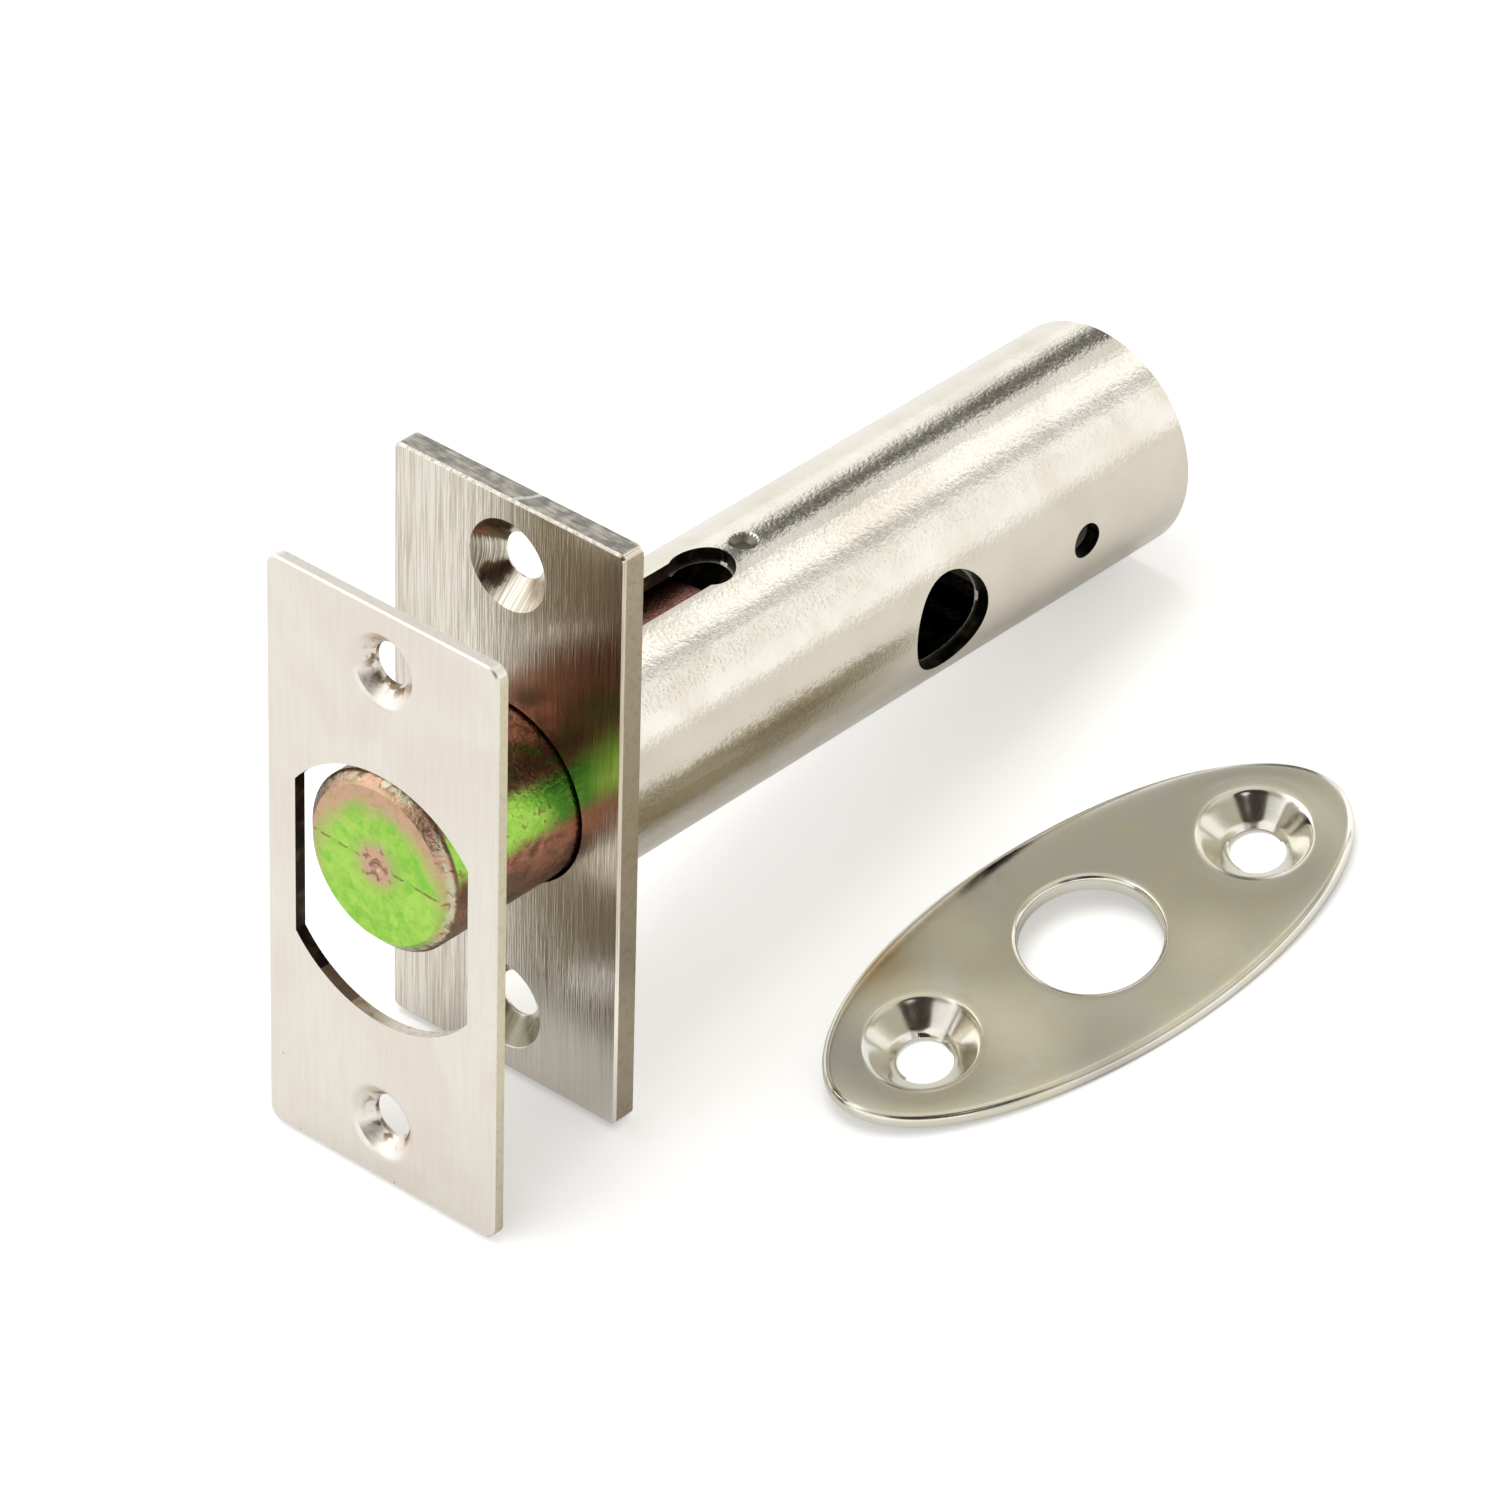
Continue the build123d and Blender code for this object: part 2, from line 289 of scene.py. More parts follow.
def brushed_nickel():
    """The forend's plate: drawn up and down on a belt, which leaves fine streaks."""
    material, shader = finish("brushed_nickel")
    drawn = shader.place(LOCK_TURN, stretch=(1, 70, 70))
    fine = shader.noise(drawn, 0.09, detail=2.0, roughness=0.6)
    broad = shader.noise(shader.place(LOCK_TURN, stretch=(1, 40, 40)), 0.4, detail=2.0)
    place = shader.place(LOCK_TURN)
    cloud = shader.noise(place, 6.0, detail=3.0)
    stains = shader.noise(place, 1.2, detail=3.0)
    across, height, out = (shader.axis(place, letter) for letter in "XYZ")
    from_hole = abs(height) - FOREND_SCREW_HEIGHT
    streaks = fine * 0.75 + broad * 0.25
    colour = shader.blend(shader.step(streaks, 0.41, 0.55), NICKEL_SCRATCHED, NICKEL_PALE)
    colour = shader.blend(shader.step(cloud, 0.45, 0.75, 0.0, 0.25), colour, NICKEL_ROSE)
    # The far side is browner above, a painted reflection of the parts in front of it, and brighter
    # below, a painted reflection of light. In front, the screw holes' countersinks get painted
    # shade at their tops and a brown patch
    front = shader.step(out, 0.1, 0.25)
    reflected_brown = shader.step(across + cloud * 6, 1, 9) * shader.step(height, -12, 4) * front
    colour = shader.blend(reflected_brown * 0.45, colour, NICKEL_REFLECTED_BROWN)
    # The lower part of the far side, brightened: a painted reflection of light
    polished = shader.step(across, -4, 7) * shader.step(height, -7, -14)
    colour = shader.blend(polished * 0.9, colour, NICKEL_LIT)
    in_hole = shader.step(shader.length(across, from_hole), 3.72, 3.60) * front
    # Painted shade in the top of each countersink
    above = shader.step(from_hole + stains * 1.2, 1.8, 2.8) * in_hole
    colour = shader.blend(above * 0.85, colour, NICKEL_HOLLOW_SHADE)
    from_patch = shader.length(across + 1.85, from_hole + 1.8)
    patch = shader.step(from_patch - stains * 1.6, 0.3, -0.1) * in_hole
    colour = shader.blend(patch * 0.9, colour, ZINC_BROWN)
    roughness = shader.step(streaks, 0.42, 0.56, 0.27, 0.13)
    shader.metal(colour, roughness, shader.bump(streaks, 0.035, 0.6))
    return material


def sheared_steel():
    """The forend's ends, cropped in a press: grey, scored along, with a bright nick."""
    material, shader = finish("sheared_steel")
    place = shader.place(LOCK_TURN)
    along = shader.place(LOCK_TURN, stretch=(9, 1, 1))
    scores = shader.noise(along, 0.25, detail=3.0, roughness=0.7)
    patches = shader.noise(place, 0.9, detail=3.0)
    plated = shader.step(scores * 0.6 + patches * 0.4, 0.40, 0.62)
    colour = shader.blend(plated, STEEL_GREY, NICKEL_WARM)
    slant = shader.axis(place, "X") + shader.axis(place, "Z") * 0.7 + patches * 1.2
    nick = shader.step(abs(slant - NICK_PLACE), 0.30, 0.10)
    colour = shader.blend(nick, colour, NICKEL_LIT)
    roughness = shader.step(patches, 0.3, 0.7, 0.30, 0.5)
    shader.metal(colour, roughness, shader.bump(scores * 0.7 + patches * 0.3, 0.06, 0.7))
    return material


def shaded_nickel():
    """Dark, dull nickel that paints shade on the strike's back, between the plates, and on the left
    wall of its window.
    """
    material, shader = finish("shaded_nickel")
    place = shader.place(LOCK_TURN)
    cloud = shader.noise(place, 2.5, detail=4.0)
    grain = shader.noise(place, 0.2, detail=1.0)
    colour = shader.blend(shader.step(cloud, 0.35, 0.65), NICKEL_SHADE, NICKEL_SHADE_BROWN)
    roughness = shader.step(cloud, 0.3, 0.7, 0.45, 0.60)
    shader.metal(colour, roughness, shader.bump(grain, 0.02, 0.5))
    return material


def worn_edge(name, tone, roughness, wear=0.5):
    """A cut or pressed edge, where the plating is thin: its tone with small darker spots."""
    material, shader = finish(name)
    place = shader.place(LOCK_TURN)
    spots = shader.noise(place, 0.5, detail=4.0, roughness=0.6)
    colour = shader.blend(shader.step(spots, 0.48, 0.66, 0.0, wear), tone, NICKEL_BROWN)
    shader.metal(colour, roughness, shader.bump(spots, 0.03, 0.6))
    return material


def bright_nickel():
    """The tube's plate: bright, over steel that the rolling left finely pebbled."""
    material, shader = finish("bright_nickel")
    place = shader.place(LOCK_TURN)
    pebble = shader.noise(place, 0.34, detail=2.0, roughness=0.6)
    ripple = shader.noise(shader.place(LOCK_TURN, stretch=(1, 1, 3)), 1.6, detail=1.0)
    cloud = shader.noise(place, 5.0, detail=3.0, distortion=0.5)
    pits = shader.specks(place, 2.4, 0.10) * shader.step(cloud, 0.48, 0.56)
    colour = shader.blend(shader.step(cloud, 0.35, 0.7), NICKEL_PALE, NICKEL_WARM)
    colour = shader.blend(shader.step(pebble, 0.42, 0.30, 0.0, 0.5), colour, NICKEL_WARM)
    colour = shader.blend(pits * 0.6, colour, NICKEL_BROWN)
    # Its low side: a dimmer band, a painted reflection of the table below, and painted shade in
    # brown near the forend
    across, height, out = (shader.axis(place, letter) for letter in "XYZ")
    around = shader.bearing(across, height) + pebble * 12 + ripple * 8 - 10
    dim_band = shader.step(around, 57, 64) * shader.step(around, 122, 112)
    near_forend = shader.step(out + cloud * 10, -36, -14)
    shade_band = shader.step(around, 76, 84) * shader.step(around, 112, 97) * near_forend
    colour = shader.blend(dim_band * 0.55, colour, NICKEL_DIMMED)
    colour = shader.blend(shade_band * 0.9, colour, NICKEL_SHADE_BROWN)
    roughness = shader.step(pebble, 0.3, 0.7, 0.11, 0.21)
    shader.metal(colour, roughness, shader.bump(pebble * 0.55 + ripple * 0.45, 0.05, 1.0))
    return material


def painted_shade_black():
    """Near black with brown smears: painted shade in the tube's bore and the walls of its holes."""
    material, shader = finish("painted_shade_black")
    smear = shader.noise(shader.place(LOCK_TURN), 1.5, detail=4.0)
    colour = shader.blend(shader.step(smear, 0.45, 0.75, 0.0, 0.5), SHADE_BLACK, NICKEL_BROWN)
    roughness = shader.step(smear, 0.3, 0.7, 0.35, 0.6)
    shader.metal(colour, roughness, shader.bump(smear, 0.05, 0.4))
    return material


# Lighter and darker patches on the escutcheon's plate, along its own axes: middle, reach and tone.
# They are painted reflections of light and shade, over uneven plating
REFLECTION_PATCHES = (
    ((-6, -11), 6.5, (0.56, 0.54, 0.49, 1)),
    ((-21, 3), 5.0, (0.62, 0.62, 0.59, 1)),
    ((-14, 8.5), 5.0, (0.62, 0.50, 0.32, 1)),
    ((-7.5, 6), 4.5, (0.88, 0.85, 0.72, 1)),
    ((-10, -3), 6.5, (0.98, 0.94, 0.80, 1)),
    ((6, -6), 5.0, (0.90, 0.86, 0.72, 1)),
    ((21.5, -3), 6.5, (0.99, 0.97, 0.88, 1)),
)


def polished_nickel():
    """The escutcheon's plate: buffed bright, with a faint haze and hair scratches."""
    material, shader = finish("polished_nickel")
    place = shader.place(PLATE_TURN, PLATE_CENTRE)
    haze = shader.noise(place, 4.0, detail=4.0, distortion=0.8)
    grain = shader.noise(place, 0.3, detail=2.0)
    along, across = shader.axis(place, "X"), shader.axis(place, "Y")
    colour = shader.blend(shader.step(haze, 0.35, 0.7), NICKEL_COOL, NICKEL_OLIVE)
    # Painted reflections of light and shade, over uneven plating
    for (x, y), reach, tone in REFLECTION_PATCHES:
        from_middle = shader.length(along - x, across - y)
        tint = shader.step(from_middle + haze * 3, reach + 1.5, 1.5)
        colour = shader.blend(tint, colour, tone)
    roughness = shader.step(haze + grain * 0.3, 0.4, 0.95, 0.11, 0.22)
    shader.metal(colour, roughness, shader.bump(haze * 0.6 + grain * 0.4, 0.012, 0.5))
    return material


def passivated_zinc():
    """The bolt's plate: a film, lime where it is thin, and rose and brown where it is thick. Round
    its side the bands are painted highlight and shade.
    """
    material, shader = finish("passivated_zinc")
    place = shader.place(LOCK_TURN)
    across, height, out = (shader.axis(place, letter) for letter in "XYZ")
    film = shader.noise(place, 2.6, detail=4.0, distortion=0.9, roughness=0.6)
    spots = shader.noise(place, 0.7, detail=3.0, distortion=0.6)
    grain = shader.noise(place, 0.25, detail=2.0)
    blotch = film * 0.7 + spots * 0.3
    radius = shader.length(across, height)
    around = shader.bearing(across, height)

    # The nose: lime, with a rose border, a rose patch round the centre mark and a scribed line
    from_middle = shader.length(across - 0.2, height + 1.8)
    border = shader.step(from_middle + film * 2.4 + spots, 6.7, 9.2)
    hub = shader.step(radius - blotch * 3.4, 0.2, -0.7)
    lime = shader.blend(shader.step(film * 0.6 + spots * 0.4, 0.36, 0.64), ZINC_LIME, ZINC_YELLOW)
    rose = shader.blend(shader.step(spots, 0.45, 0.70), ZINC_ROSE, ZINC_GOLD)
    copper = shader.blend(shader.step(film, 0.40, 0.62), ZINC_COPPER, ZINC_BROWN)
    halo = shader.step(radius - blotch * 1.6, 2.2, 0.4, 0.0, 0.5)
    nose = shader.blend(shader.math("MAXIMUM", border, halo), lime, rose)
    flecked = shader.blend(shader.step(spots, 0.50, 0.64, 0.0, 0.7), ZINC_ROSE, ZINC_BROWN)
    nose = shader.blend(hub, nose, flecked)
    from_line = abs(height + across * 0.05 + spots * 0.3 - 0.15)
    scribed = shader.step(from_line, 0.16, 0.05) * shader.step(spots, 0.42, 0.54)
    nose = shader.blend(scribed * shader.step(radius, 1.3, 1.8) * 0.7, nose, ZINC_BROWN)

    # The side, in bands round it: copper above and below, and between them a lime band that is a
    # painted highlight and darkens to green near the forend as painted shade; above it a moss band
    # and at the bottom brown, both painted shade
    lit = shader.step(around + blotch * 30, 60, 70) * shader.step(around + blotch * 24, 96, 86)
    deep = shader.step(out + film * 4 + spots * 2, 9.4, 5.8, 0.0, 0.85)
    side = shader.blend(lit, copper, shader.blend(deep, lime, ZINC_GREEN))
    shade = shader.step(abs(around + film * 24 - 51), 13, 3, 0.0, 0.85)
    below = shader.step(around + film * 24, 98, 112, 0.0, 0.5)
    moss = shader.blend(shader.step(film + spots * 0.5, 0.70, 0.82), ZINC_BROWN, ZINC_MOSS)
    side = shader.blend(shade, side, moss)
    side = shader.blend(below, side, ZINC_BROWN)
    side = shader.blend(shader.step(spots, 0.58, 0.70, 0.0, 0.7), side, ZINC_BROWN)

    # The chamfer: olive and rose, with a dark rim. Behind the forend the side is red, and then
    # black: grease, and painted shade inside the tube.
    chamfer = shader.blend(shader.step(film, 0.46, 0.60), ZINC_OLIVE, ZINC_ROSE)
    chamfer = shader.blend(shader.step(spots, 0.50, 0.64, 0.0, 0.8), chamfer, ZINC_BROWN)
    rim = shader.step(radius + spots * 0.3, 7.15, 7.35, 0.0, 0.9)
    chamfer = shader.blend(rim, chamfer, ZINC_BROWN)
    on_chamfer = shader.step(out, CHAMFER_START - 0.15, CHAMFER_START + 0.05)
    side = shader.blend(on_chamfer, side, chamfer)
    side = shader.blend(shader.step(out, -1.5, -4.0, 0.0, 0.8), side, ZINC_RED)
    side = shader.blend(shader.step(out, -18, -21), side, SHADE_BLACK)
    colour = shader.blend(shader.step(out, NOSE_FACE - 0.5, NOSE_FACE - 0.1), side, nose)
    roughness = shader.step(grain, 0.3, 0.7, 0.26, 0.40)
    shader.metal(colour, roughness, shader.bump(grain * 0.3 + spots * 0.7, 0.12, 0.8))
    return material


def dress(node, material, *others):
    """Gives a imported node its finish, and other finishes to the faces that their tests pick.

    A test gets a face's middle and its outward direction along the lock's axes, in millimetres.
    """
    mesh = nodes[node].data
    mesh.materials.clear()
    mesh.materials.append(material)
    to_lock = Matrix.Rotation(LOCK_TURN[0], 3, "X").transposed()
    for index, (other, test) in enumerate(others, 1):
        mesh.materials.append(other)
        for face in mesh.polygons:
            if test(to_lock @ face.center / MM, to_lock @ face.normal):
                face.material_index = index


# How squarely a face has to look along an axis, to count as facing along it or across it
ROUND_FACING = 0.35
FLAT_FACING = 0.9
EDGE_FACING = 0.3
DARK_FACING = 0.55
END_FACING = 0.995

# Limits that tell faces apart, in millimetres from the bolt's axis or the window's middle
PIP_RADIUS = 9.38
SIDE_REACH = 11
END_REACH = 20
WINDOW_REACH = (9, 12)


def outward(middle, way):
    """How far a face of the tube faces away from the tube's axis."""
    return (way.x * middle.x + way.y * middle.y) / math.hypot(middle.x, middle.y)


def in_bore(middle, way):
    return outward(middle, way) < -ROUND_FACING


def cut_wall(middle, way):
    """The wall of one of the tube's holes."""
    return abs(outward(middle, way)) <= ROUND_FACING and abs(way.z) < END_FACING


def in_pip(middle, way):
    """The face of a pip, pressed in above or below."""
    return outward(middle, way) > ROUND_FACING and math.hypot(middle.x, middle.y) < PIP_RADIUS


def on_side(middle, way):
    return abs(way.x) > FLAT_FACING and abs(middle.x) > SIDE_REACH


def on_end(middle, way):
    return abs(way.y) > FLAT_FACING and abs(middle.y) > END_REACH


def on_back(middle, way):
    return way.z < -EDGE_FACING


def in_window(middle, way):
    """The cut edge of the strike's window."""
    across, up = WINDOW_REACH
    inside = abs(middle.x) < across and abs(middle.y + STRIKE_DROP) < up
    return abs(way.z) < EDGE_FACING and inside


def window_left(middle, way):
    """The window's edge on its left, which looks to the right."""
    return in_window(middle, way) and way.x > EDGE_FACING


def window_deep_shade(middle, way):
    """The part of the window's left edge that gets the darkest painted shade."""
    return in_window(middle, way) and way.x > DARK_FACING


zinc = passivated_zinc()
shaded = shaded_nickel()
polished = polished_nickel()
painted_shade = painted_shade_black()
# Burrs in the lightest tone: painted highlights along the edges they sit on
burr_highlight_metal = worn_edge("burr", NICKEL_LIT, 0.55, 0.1)
dress(
    "strike_plate",
    satin_nickel(),
    # The strike's back, between the plates, gets painted shade
    (shaded, on_back),
    (worn_edge("strike_side", STRIKE_SIDE, 0.3, 0.15), on_side),
    # The strike's ends take the lightest tone: a painted highlight
    (worn_edge("strike_end", NICKEL_LIT, 0.5, 0.08), on_end),
    (worn_edge("window_edge", NICKEL_DIMMED, 0.3), in_window),
    # The window's left wall gets painted shade, darkest where it faces right most squarely
    (shaded, window_left),
    (painted_shade, window_deep_shade),
)
dress(
    "forend_plate",
    brushed_nickel(),
    (sheared_steel(), on_end),
    (worn_edge("forend_side", FOREND_SIDE, 0.3, 0.3), on_side),
)
dress(
    "barrel_tube",
    bright_nickel(),
    # The tube's bore and the walls of its holes get painted shade
    (painted_shade, in_bore),
    (painted_shade, cut_wall),
    # The pips are painted dark: a painted reflection, like the dark band round them
    (worn_edge("pressed_pip", NICKEL_PIP_REFLECTION, 0.35), in_pip),
)
dress("key_escutcheon", polished)
dress("bolt", zinc)
dress("guide_pin", zinc)


# Edges that turn more sharply than this are drawn sharp
SHARP_EDGE = math.radians(40)


def edges_of(faces):
    """The edges of these faces, each once."""
    return dict.fromkeys(edge for face in faces for edge in face.edges)


def loop_of(verts):
    """The edges that run between these vertices, each once."""
    among = set(verts)
    edges = dict.fromkeys(edge for vert in verts for edge in vert.link_edges)
    return [edge for edge in edges if among.issuperset(edge.verts)]


def grow(shape, edges, place):
    """Extrudes a loop of edges by a strip, and moves each new vertex to place(where it starts)."""
    made = bmesh.ops.extrude_edge_only(shape, edges=edges)["geom"]
    verts = [item for item in made if isinstance(item, bmesh.types.BMVert)]
    for vert in verts:
        vert.co = place(vert.co)
    return loop_of(verts)


def add_object(name, shape, material):
    """Turns a shape into an object with one material."""
    mesh = bpy.data.meshes.new(name)
    shape.to_mesh(mesh)
    shape.free()
    mesh.materials.append(material)
    made = bpy.data.objects.new(name, mesh)
    bpy.context.scene.collection.objects.link(made)
    return made


def add_piece(name, shape, material, matrix):
    """Places a shape in millimetres, as an object that belongs to the lock."""
    bmesh.ops.recalc_face_normals(shape, faces=shape.faces)
    bmesh.ops.transform(shape, matrix=matrix @ Matrix.Scale(MM, 4), verts=shape.verts)
    for face in shape.faces:
        face.smooth = True
    for edge in shape.edges:
        edge.smooth = len(edge.link_faces) == 2 and edge.calc_face_angle() < SHARP_EDGE
    piece = add_object(name, shape, material)
    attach(piece, "lock")
    return piece


# Escutcheon, in millimetres along its own axes
CROWN_TOP = 1.35
CROWN_RISE = 0.4
END_FALL = 0.30
RIM_RADIUS = 0.5
RIM_ROLL = 0.16
RIM_ROLL_REACH = 0.6
RIM_SEGMENTS = 240
RIM_SETBACKS = (0.03, 0.1, 0.2, 0.34, 0.5, 0.7, 0.95, 1.3, 1.7)
KEY_HOLE = 5.45
KEY_HOLE_ROUND = 0.5
KEY_HOLE_SEGMENTS = 120
KEY_HOLE_RINGS = (5.47, 5.52, 5.6, 5.7, 5.85, 6.0, 6.5)
DIMPLE_PLACE = 15.7
DIMPLE_HOLE = 2.05
DIMPLE_SEGMENTS = 96
DIMPLE_RINGS = (
    *(2.2, 2.4, 2.5, 2.6, 2.7, 3.0, 3.4, 3.8, 4.0, 4.1),
    *(4.2, 4.3, 4.4, 4.5, 4.6, 4.85, 5.2, 5.45, 5.75),
)
DIMPLE_EDGE = 5.2
# The funnel's slope in degrees, by the distance in from its edge
FUNNEL = ((0.0, 0), (0.6, 11), (1.0, 38), (1.2, 43), (2.5, 43), (2.7, 52), (3.2, 52))
DIMPLE_DISH = 0.16
DIMPLE_DISH_REACH = 1.5
LAND_FOOT = -1.2
LAND_HEIGHT = 0.06
SHEET = 0.9
# How many times the sheet between the rings is divided, and the longest edge that is left alone
FILL_ROUNDS = 6
FILL_EDGE = 1.0


def from_rim(x, y):
    """About how far a place on the oval is from its rim."""
    a, b = OVAL
    share = math.hypot(x / a, y / b)
    if share == 0:
        return b
    return (1 - share) * share / math.hypot(x / a**2, y / b**2)


def rounding(setback, radius):
    """How far a rounded edge has fallen at this distance in from it."""
    inside = max(radius - max(setback, 0.0), 0.0)
    return radius - math.sqrt(radius**2 - inside**2)


def funnel(inward):
    """How far the funnel has fallen at this distance in from its edge, and its slope there."""
    fallen = 0.0
    slope = 0.0
    for (start, first), (end, last) in zip(FUNNEL, FUNNEL[1:]):
        reach = min(inward, end) - start
        if reach <= 0:
            break
        slope = math.radians(first + (last - first) * reach / (end - start))
        fallen += reach * (math.tan(math.radians(first)) + math.tan(slope)) / 2
    return fallen, slope


def plate_face(x, y):
    """The height of the escutcheon's face, and how much more than a sheet lies below it there."""
    a, b = OVAL
    setback = from_rim(x, y)
    height = CROWN_TOP - CROWN_RISE * (y / b) ** 2 - END_FALL * (x / a) ** 4
    height -= rounding(setback, RIM_RADIUS) + RIM_ROLL * math.exp(-setback / RIM_ROLL_REACH)
    height -= rounding(math.hypot(x, y) - KEY_HOLE, KEY_HOLE_ROUND)
    extra = 0.0
    for side in (DIMPLE_PLACE, -DIMPLE_PLACE):
        radius = math.hypot(x - side, y)
        inward = DIMPLE_EDGE - radius
        height -= DIMPLE_DISH * math.exp(-max(-inward, 0.0) / DIMPLE_DISH_REACH)
        fallen, slope = funnel(inward)
        height -= fallen
        extra += SHEET * (1 / math.cos(slope) - 1)
    return max(height, LAND_FOOT + LAND_HEIGHT), extra


def escutcheon():
    """The oval sheet: rings round its rim and holes, filled between, and a second sheet below."""
    shape = bmesh.new()
    a, b = OVAL
    border = []

    rim = bmesh.ops.create_circle(shape, segments=RIM_SEGMENTS, radius=1)["verts"]
    for vert in rim:
        vert.co = (vert.co.x * a, vert.co.y * b, 0)
    rim_loop = loop_of(rim)
    loop, done = rim_loop, 0.0
    for setback in RIM_SETBACKS:
        step = setback - done

        def inward(co):
            across = Vector((co.x / a**2, co.y / b**2, 0)).normalized()
            return co - across * step

        loop, done = grow(shape, loop, inward), setback
    border += loop

    hole_loops = [rim_loop]
    for middle, first, rings, count in (
        (0, KEY_HOLE, KEY_HOLE_RINGS, KEY_HOLE_SEGMENTS),
        (DIMPLE_PLACE, DIMPLE_HOLE, DIMPLE_RINGS, DIMPLE_SEGMENTS),
        (-DIMPLE_PLACE, DIMPLE_HOLE, DIMPLE_RINGS, DIMPLE_SEGMENTS),
    ):
        centre = Vector((middle, 0, 0))
        verts = bmesh.ops.create_circle(
            shape, segments=count, radius=first, matrix=Matrix.Translation(centre)
        )["verts"]
        loop = loop_of(verts)
        hole_loops.append(loop)
        for radius in rings:
            loop = grow(shape, loop, lambda co: centre + (co - centre).normalized() * radius)
        border += loop

    ringed = set(shape.faces)
    bmesh.ops.triangle_fill(shape, edges=border, use_beauty=True, normal=(0, 0, 1))
    kept = set(border)

    def inner():
        return [face for face in shape.faces if face not in ringed]

    for _ in range(FILL_ROUNDS):
        long_edges = [edge for edge in edges_of(inner()) if edge.calc_length() > FILL_EDGE]
        bmesh.ops.subdivide_edges(shape, edges=long_edges, cuts=1)
        bmesh.ops.triangulate(shape, faces=inner())
        loose = [edge for edge in edges_of(inner()) if edge not in kept]
        bmesh.ops.beautify_fill(shape, faces=inner(), edges=loose)

    top = list(shape.verts)
    under = bmesh.ops.duplicate(shape, geom=shape.verts[:] + shape.edges[:] + shape.faces[:])
    for vert in top:
        vert.co.z = plate_face(vert.co.x, vert.co.y)[0]
    for vert in (item for item in under["geom"] if isinstance(item, bmesh.types.BMVert)):
        x, y = vert.co.x, vert.co.y
        height, extra = plate_face(x, y)
        in_wall = from_rim(x, y) < SHEET
        vert.co.z = 0.0 if in_wall else max(height - SHEET - extra, LAND_FOOT)
    matching = under["edge_map"]
    for loop in hole_loops:
        bmesh.ops.bridge_loops(shape, edges=loop + [matching[edge] for edge in loop])
    return shape


PLATE_PLACE = Matrix.LocRotScale(PLATE_CENTRE, PLATE_TURN, None)
plate = add_piece("escutcheon_sheet", escutcheon(), polished, PLATE_PLACE)
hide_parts("key_escutcheon")


# Burrs in the tube's holes: radius, place along the lock, and how far the slot's end is open
KEY_HOLE_IN_TUBE = (4.1, -37.1)
SLOT_END_IN_TUBE = (2.5, -19.2, 2.1)
BORE = 8.25
BURR_WIDTH = 0.2
BURR_SHEET = 0.06
BURR_SINK = 0.01
BURR_SEGMENTS = 96


def hole_burr(radius, along, opening=0.0):
    """The edge that the cutter left inside a hole of the tube: a thin ring on the bore, in the
    lightest tone as a painted highlight.

    The ring is open at the front, by this much to each side.
    """
    shape = bmesh.new()
    ring = bmesh.ops.create_circle(shape, segments=BURR_SEGMENTS, radius=radius)["verts"]
    grow(shape, loop_of(ring), lambda co: co * ((radius - BURR_WIDTH) / radius))
    middles = [(face, face.calc_center_median()) for face in shape.faces]
    cut = [face for face, middle in middles if middle.y > 0 and abs(middle.x) < opening]
    bmesh.ops.delete(shape, geom=cut, context="FACES")
    for vert in shape.verts:
        height, back = vert.co.x, vert.co.y
        vert.co = (math.sqrt(BORE**2 - height**2) - BURR_SINK, height, along + back)
    bmesh.ops.solidify(shape, geom=shape.faces[:], thickness=BURR_SHEET)
    return shape


SLOT_PLACE = LOCK_PLACE @ Matrix.Rotation(math.pi / 2, 4, "Z")
add_piece("key_hole_burr", hole_burr(*KEY_HOLE_IN_TUBE), burr_highlight_metal, LOCK_PLACE)
add_piece("slot_burr", hole_burr(*SLOT_END_IN_TUBE), burr_highlight_metal, SLOT_PLACE)

# The burr on the forend's top front edge: how long, how far in it starts, how far it stands out
# on average, at its two borders and by how much that varies, and how it ends
RAGGED_HALF_LENGTH = 10.6
RAGGED_INSET = 0.16
RAGGED_REACH = 0.15
RAGGED_BORDER = 0.10
RAGGED_SPREAD = 0.11
RAGGED_SWELL = 1.3
RAGGED_TAPER = 0.5
RAGGED_SHEET = 0.05


def edge_burr():
    """A thin ragged ridge that the press left along the forend's top front edge."""
    shape = bmesh.new()
    bmesh.ops.create_grid(shape, x_segments=260, y_segments=4, size=1)
    for vert in shape.verts:
        x = vert.co.x * RAGGED_HALF_LENGTH
        turn = (vert.co.y + 1) / 2 * math.pi / 2
        coarse = noise.noise(Vector((x * 2.3, 0.7, 0.0)))
        ragged = coarse + 0.6 * noise.noise(Vector((x * 7.1, 3.1, vert.co.y)))
        between = 0.02 < turn < 1.55
        reach = RAGGED_REACH + RAGGED_SPREAD * ragged if between else RAGGED_BORDER
        out = reach * min(1.0, (RAGGED_HALF_LENGTH - abs(x)) / RAGGED_TAPER)
        y = FOREND_TOP - RAGGED_INSET + out * math.sin(turn) * RAGGED_SWELL
        z = FOREND_FACE - RAGGED_INSET + out * math.cos(turn) * RAGGED_SWELL
        vert.co = (x, y, z)
    bmesh.ops.solidify(shape, geom=shape.faces[:], thickness=RAGGED_SHEET)
    return shape


add_piece("forend_burr", edge_burr(), burr_highlight_metal, LOCK_PLACE)


# Table, light and camera
FLOOR_SIZE = 6.0
FLOOR_TONE = (0.80, 0.80, 0.80, 1)
FLOOR_GLOW_SEEN = 0.37
FLOOR_GLOW_MIRRORED = 0.06


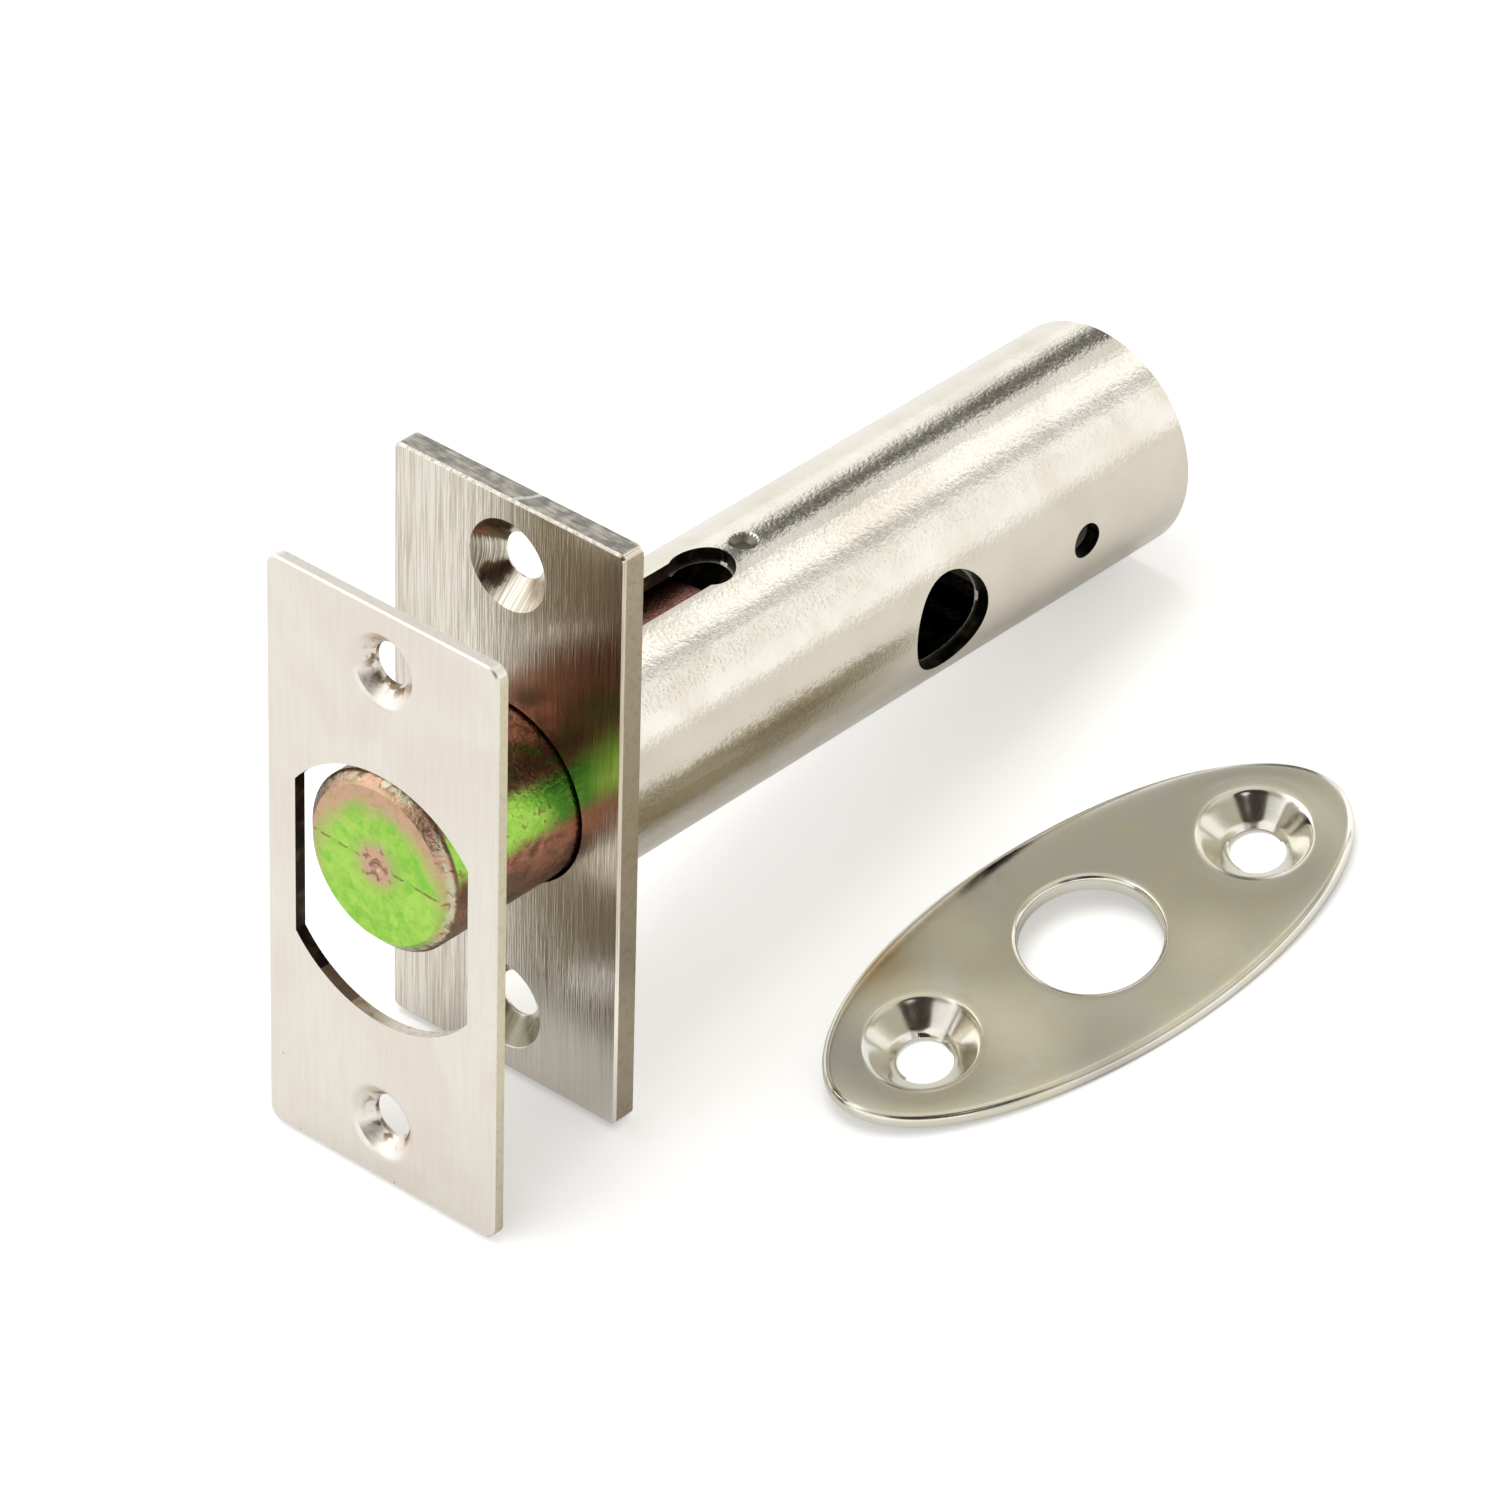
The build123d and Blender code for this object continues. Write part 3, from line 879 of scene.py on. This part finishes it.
def white_floor():
    """A white table that keeps its shadows, with a glow for the camera and in the metal."""
    material, shader = finish("white_table")
    matt = shader.node("ShaderNodeBsdfDiffuse", values={"Color": FLOOR_TONE})
    mirrored = shader.math("MAXIMUM", shader.ray("Glossy"), shader.ray("Transmission"))
    strength = shader.ray("Camera") * FLOOR_GLOW_SEEN + mirrored * FLOOR_GLOW_MIRRORED
    glow = shader.node("ShaderNodeEmission", values={"Color": WHITE, "Strength": strength})
    surface = shader.node("ShaderNodeAddShader", values=[matt, glow])
    shader.node("ShaderNodeOutputMaterial", values=[surface])
    shape = bmesh.new()
    bmesh.ops.create_grid(shape, x_segments=1, y_segments=1, size=FLOOR_SIZE / 2)
    bmesh.ops.translate(shape, verts=shape.verts, vec=(0, 0, TABLE))
    add_object("table", shape, material)


# The room that the metal mirrors: pale panels up to a grey ceiling, by the sine of the height
ROOM = [
    (0.00, (1.00, 1.00, 0.97, 1)),
    (0.62, (1.00, 1.00, 1.00, 1)),
    (0.70, (0.50, 0.48, 0.41, 1)),
    (0.80, (0.42, 0.40, 0.33, 1)),
    (0.90, (0.62, 0.60, 0.51, 1)),
    (1.00, (0.80, 0.78, 0.70, 1)),
]
# Dark gaps between the panels: azimuth from +Y towards +X in degrees, half width, depth
ROOM_GAPS = (
    (-32.0, 7.5, 0.96),
    (-15.5, 5, 0.22),
    (20.4, 2.8, 0.72),
    (-150, 8, 0.5),
    (112, 7, 0.5),
)
GAP_TONE = (0.09, 0.087, 0.075, 1)
GAP_TOP = 0.62
RIGHT_SIDE_LOWERED = 0.30
# Azimuth, half width and extra light
SOFT_BOX = (3.0, 11.0, 0.50)
WINDOW_WAY = Vector((-0.539, -0.403, 0.740))
WINDOW_EXTRA = 0.5
PANEL_EXTRA = 0.2
# The room is dark on the camera's side, but for one small lit spot
DARK_SIDE_TONE = (0.05, 0.035, 0.03, 1)
SPOT_WAY = Vector((0.610, -0.333, 0.719))


def room():
    """The world: the room's panels, gaps and soft box, and white to the camera."""
    world = bpy.data.worlds.new("room")
    bpy.context.scene.world = world
    world.use_nodes = True
    shader = Shader(world.node_tree)
    way = shader.node("ShaderNodeTexCoord", output="Generated")
    up = shader.axis(way, "Z")
    azimuth = shader.bearing(shader.axis(way, "X"), shader.axis(way, "Y"))
    lowered = shader.step(azimuth, 28, 46) * shader.step(azimuth, 125, 112)
    height = up + lowered * RIGHT_SIDE_LOWERED
    colour = shader.node("ShaderNodeValToRGB", {"stops": ROOM}, [height])
    below_ceiling = shader.step(up, GAP_TOP + 0.08, GAP_TOP - 0.04)
    for middle, half, depth in ROOM_GAPS:
        gap = shader.step(abs(azimuth - middle), half * 1.5, half * 0.4) * below_ceiling
        colour = shader.blend(gap * depth, colour, GAP_TONE)
    dark_side = shader.step(shader.towards(way, CAMERA_PLACE.normalized()), 0.897, 0.920)
    colour = shader.blend(dark_side, colour, DARK_SIDE_TONE)
    spot = shader.step(shader.towards(way, SPOT_WAY), 0.9950, 0.9975)
    colour = shader.blend(spot, colour, WHITE)
    window = shader.step(shader.towards(way, WINDOW_WAY), 0.84, 0.96)
    colour = shader.blend(window, colour, WHITE)
    colour = shader.blend(shader.ray("Camera"), colour, WHITE)
    middle, half, extra = SOFT_BOX
    soft_box = shader.step(abs(azimuth - middle), half * 1.2, half * 0.8)
    strength = soft_box * shader.step(up, 0.50, 0.58) * extra
    strength = strength + window * WINDOW_EXTRA + shader.step(up, 0.62, 0.45) * PANEL_EXTRA + 1.0
    background = shader.node("ShaderNodeBackground", values=[colour, strength])
    shader.node("ShaderNodeOutputWorld", values=[background])


def lamp(name, place, target, size, power):
    """A soft round lamp that lights the table, and doesn't show in the metal."""
    data = bpy.data.lights.new(name, "AREA")
    data.shape = "DISK"
    data.size = size
    data.energy = power
    made = bpy.data.objects.new(name, data)
    made.location = place
    made.rotation_euler = (Vector(place) - Vector(target)).to_track_quat("Z", "Y").to_euler()
    made.visible_glossy = False
    bpy.context.scene.collection.objects.link(made)


def camera():
    back = Vector(
        (
            math.sin(CAMERA_AZIMUTH) * math.cos(CAMERA_ELEVATION),
            -math.cos(CAMERA_AZIMUTH) * math.cos(CAMERA_ELEVATION),
            math.sin(CAMERA_ELEVATION),
        )
    )
    level = Vector((0, 0, 1)).cross(back).normalized()
    right = Matrix.Rotation(CAMERA_ROLL, 3, back) @ level
    up = back.cross(right)
    data = bpy.data.cameras.new("camera")
    data.lens = CAMERA_LENS
    made = bpy.data.objects.new("camera", data)
    turn = Matrix((right, up, back)).transposed().to_4x4()
    made.matrix_world = Matrix.Translation(CAMERA_PLACE) @ turn
    bpy.context.scene.collection.objects.link(made)
    bpy.context.scene.camera = made


white_floor()
room()
lamp("overhead_lamp", place=(-0.20, 0.18, 0.80), target=(0, 0.03, 0), size=0.60, power=3.1)
camera()
bpy.context.scene.view_settings.view_transform = "Standard"
